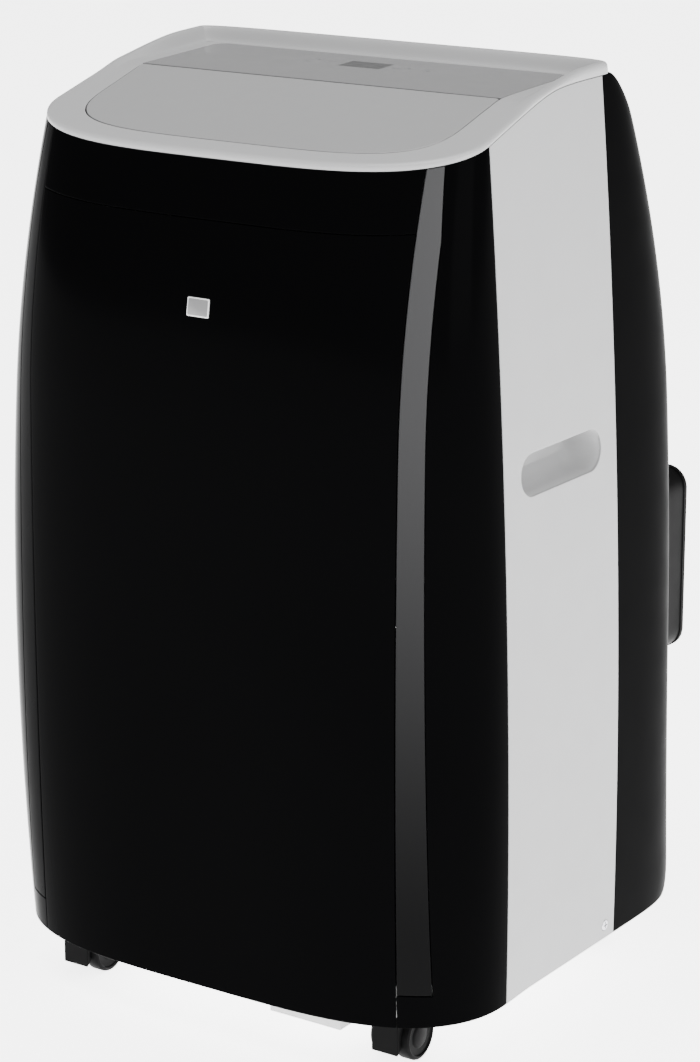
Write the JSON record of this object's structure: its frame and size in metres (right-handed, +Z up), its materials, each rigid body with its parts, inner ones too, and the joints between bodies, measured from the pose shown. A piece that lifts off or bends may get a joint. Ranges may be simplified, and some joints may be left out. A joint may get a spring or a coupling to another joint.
{
  "type": "portable air conditioner",
  "caption": "Tall rounded floor-standing air conditioner: gloss black front, white sides and top, tilting air flap, rear intake grilles, square hose socket, swivel casters.",
  "frame": {"origin": "on the floor, under the middle of the object's bounding box", "axes": "+Z up, -Y out of the front, +X towards the right-hand side seen from the front"},
  "size_m": [0.466, 0.435, 0.7659],
  "materials": {
    "gloss_black": "high gloss moulded, piano black",
    "satin_strip": "satin, fading darker downwards",
    "satin_black": "satin moulded black",
    "white_plastic": "fine satin grain, cool white",
    "fascia_grey": "smooth, slightly darker than the cover",
    "display_dark": "smoked, gloss",
    "window_grey": "diffusing, light grey",
    "base_grey": "light grey, matte",
    "caster_black": "moulded nylon, satin",
    "duct_grey": "matte grey",
    "compressor_enamel": "black enamel",
    "fin_aluminium": "bare fins",
    "copper": "drawn copper tube",
    "steel": "zinc plated",
    "filter_mesh": "nylon net",
    "rubber": "soft, matte"
  },
  "bodies": {
    "root": {"front_panel": "gloss_black", "front_band": "gloss_black", "front_corner_left": "gloss_black", "front_corner_right": "gloss_black", "accent_strip_left": "satin_strip", "accent_strip_right": "satin_strip", "side_panel_left": "white_plastic", "side_panel_right": "white_plastic", "handle_cup_left": "white_plastic", "handle_cup_right": "white_plastic", "side_screw_left": "steel", "side_screw_right": "steel", "signal_window": "window_grey", "rear_housing": "gloss_black", "exhaust_socket": "satin_black", "drain_port": "satin_black", "cord_gland": "rubber", "top_cover": "white_plastic", "flap_motor": "duct_grey", "control_fascia": "fascia_grey", "display_lens": "display_dark", "outlet_duct": "duct_grey", "base_pan": "base_grey", "mid_deck": "duct_grey", "compressor": "compressor_enamel", "accumulator": "compressor_enamel", "condenser_coil": "fin_aluminium", "evaporator_coil": "fin_aluminium", "condenser_scroll": "duct_grey", "condenser_motor": "steel", "evaporator_scroll": "duct_grey", "evaporator_motor": "steel", "exhaust_duct": "duct_grey", "suction_pipe": "copper", "discharge_pipe": "copper", "control_box": "duct_grey"},
    "flap": {"flap": "white_plastic"},
    "vane_1": {"vane_1": "duct_grey"},
    "vane_2": {"vane_2": "duct_grey"},
    "vane_3": {"vane_3": "duct_grey"},
    "vane_4": {"vane_4": "duct_grey"},
    "vane_5": {"vane_5": "duct_grey"},
    "vane_6": {"vane_6": "duct_grey"},
    "vane_link": {"vane_link": "duct_grey"},
    "condenser_wheel": {"condenser_wheel": "duct_grey"},
    "evaporator_wheel": {"evaporator_wheel": "duct_grey"},
    "upper_grille": {"upper_grille": "satin_black", "upper_filter": "filter_mesh"},
    "lower_grille": {"lower_grille": "satin_black", "lower_filter": "filter_mesh"},
    "float": {"float": "white_plastic"},
    "drain_plug": {"drain_plug": "rubber"},
    "caster_fork_front_right": {"caster_fork_front_right": "caster_black"},
    "caster_wheels_front_right": {"caster_wheels_front_right": "caster_black"},
    "caster_fork_front_left": {"caster_fork_front_left": "caster_black"},
    "caster_wheels_front_left": {"caster_wheels_front_left": "caster_black"},
    "caster_fork_rear_right": {"caster_fork_rear_right": "caster_black"},
    "caster_wheels_rear_right": {"caster_wheels_rear_right": "caster_black"},
    "caster_fork_rear_left": {"caster_fork_rear_left": "caster_black"},
    "caster_wheels_rear_left": {"caster_wheels_rear_left": "caster_black"}
  },
  "joints": [
    {"name": "flap_hinge", "type": "hinge", "parent": "root", "child": "flap", "pos_m": [0, -0.0616, 0.7381], "axis": [-1, 0, 0], "range_deg": [0, 75]},
    {"name": "vane_1_pivot", "type": "hinge", "parent": "root", "child": "vane_1", "pos_m": [-0.12667, -0.114, 0.69], "axis": [0, 1, 0], "range_deg": [-35, 35]},
    {"name": "vane_2_pivot", "type": "hinge", "parent": "root", "child": "vane_2", "pos_m": [-0.076, -0.114, 0.69], "axis": [0, 1, 0], "range_deg": [-35, 35]},
    {"name": "vane_3_pivot", "type": "hinge", "parent": "root", "child": "vane_3", "pos_m": [-0.02533, -0.114, 0.69], "axis": [0, 1, 0], "range_deg": [-35, 35]},
    {"name": "vane_4_pivot", "type": "hinge", "parent": "root", "child": "vane_4", "pos_m": [0.02533, -0.114, 0.69], "axis": [0, 1, 0], "range_deg": [-35, 35]},
    {"name": "vane_5_pivot", "type": "hinge", "parent": "root", "child": "vane_5", "pos_m": [0.076, -0.114, 0.69], "axis": [0, 1, 0], "range_deg": [-35, 35]},
    {"name": "vane_6_pivot", "type": "hinge", "parent": "root", "child": "vane_6", "pos_m": [0.12667, -0.114, 0.69], "axis": [0, 1, 0], "range_deg": [-35, 35]},
    {"name": "vane_link_slide", "type": "slide", "parent": "root", "child": "vane_link", "axis": [1, 0, 0], "range_m": [-0.009, 0.009]},
    {"name": "condenser_wheel_spin", "type": "hinge", "parent": "root", "child": "condenser_wheel", "pos_m": [0.1125, 0.069, 0.158], "axis": [0, 1, 0], "continuous": true},
    {"name": "evaporator_wheel_spin", "type": "hinge", "parent": "root", "child": "evaporator_wheel", "pos_m": [-0.01, -0.0025, 0.52], "axis": [0, 1, 0], "continuous": true},
    {"name": "upper_grille_hinge", "type": "hinge", "parent": "root", "child": "upper_grille", "pos_m": [0, 0.1756, 0.455], "axis": [-1, 0, 0], "range_deg": [0, 60]},
    {"name": "lower_grille_hinge", "type": "hinge", "parent": "root", "child": "lower_grille", "pos_m": [0, 0.19431, 0.078], "axis": [-1, 0, 0], "range_deg": [0, 45]},
    {"name": "float_slide", "type": "slide", "parent": "root", "child": "float", "axis": [0, 0, 1], "range_m": [0, 0.012]},
    {"name": "drain_plug_pull", "type": "slide", "parent": "root", "child": "drain_plug", "axis": [0, 1, 0], "range_m": [0, 0.03]},
    {"name": "caster_swivel_front_right", "type": "hinge", "parent": "root", "child": "caster_fork_front_right", "pos_m": [0.155, -0.172, 0.045], "axis": [0, 0, 1], "continuous": true},
    {"name": "caster_axle_front_right", "type": "hinge", "parent": "caster_fork_front_right", "child": "caster_wheels_front_right", "pos_m": [0.155, -0.16, 0.02], "axis": [1, 0, 0], "continuous": true},
    {"name": "caster_swivel_front_left", "type": "hinge", "parent": "root", "child": "caster_fork_front_left", "pos_m": [-0.155, -0.172, 0.045], "axis": [0, 0, 1], "continuous": true},
    {"name": "caster_axle_front_left", "type": "hinge", "parent": "caster_fork_front_left", "child": "caster_wheels_front_left", "pos_m": [-0.155, -0.16, 0.02], "axis": [1, 0, 0], "continuous": true},
    {"name": "caster_swivel_rear_right", "type": "hinge", "parent": "root", "child": "caster_fork_rear_right", "pos_m": [0.155, 0.11, 0.045], "axis": [0, 0, 1], "continuous": true},
    {"name": "caster_axle_rear_right", "type": "hinge", "parent": "caster_fork_rear_right", "child": "caster_wheels_rear_right", "pos_m": [0.155, 0.122, 0.02], "axis": [1, 0, 0], "continuous": true},
    {"name": "caster_swivel_rear_left", "type": "hinge", "parent": "root", "child": "caster_fork_rear_left", "pos_m": [-0.155, 0.11, 0.045], "axis": [0, 0, 1], "continuous": true},
    {"name": "caster_axle_rear_left", "type": "hinge", "parent": "caster_fork_rear_left", "child": "caster_wheels_rear_left", "pos_m": [-0.155, 0.122, 0.02], "axis": [1, 0, 0], "continuous": true}
  ],
  "couplings": [
    {"joint": "vane_2_pivot", "follows": "vane_1_pivot", "ratio": 1},
    {"joint": "vane_3_pivot", "follows": "vane_1_pivot", "ratio": 1},
    {"joint": "vane_4_pivot", "follows": "vane_1_pivot", "ratio": 1},
    {"joint": "vane_5_pivot", "follows": "vane_1_pivot", "ratio": 1},
    {"joint": "vane_6_pivot", "follows": "vane_1_pivot", "ratio": 1},
    {"joint": "vane_link_slide", "follows": "vane_1_pivot", "m_per_rad": -0.0137}
  ]
}
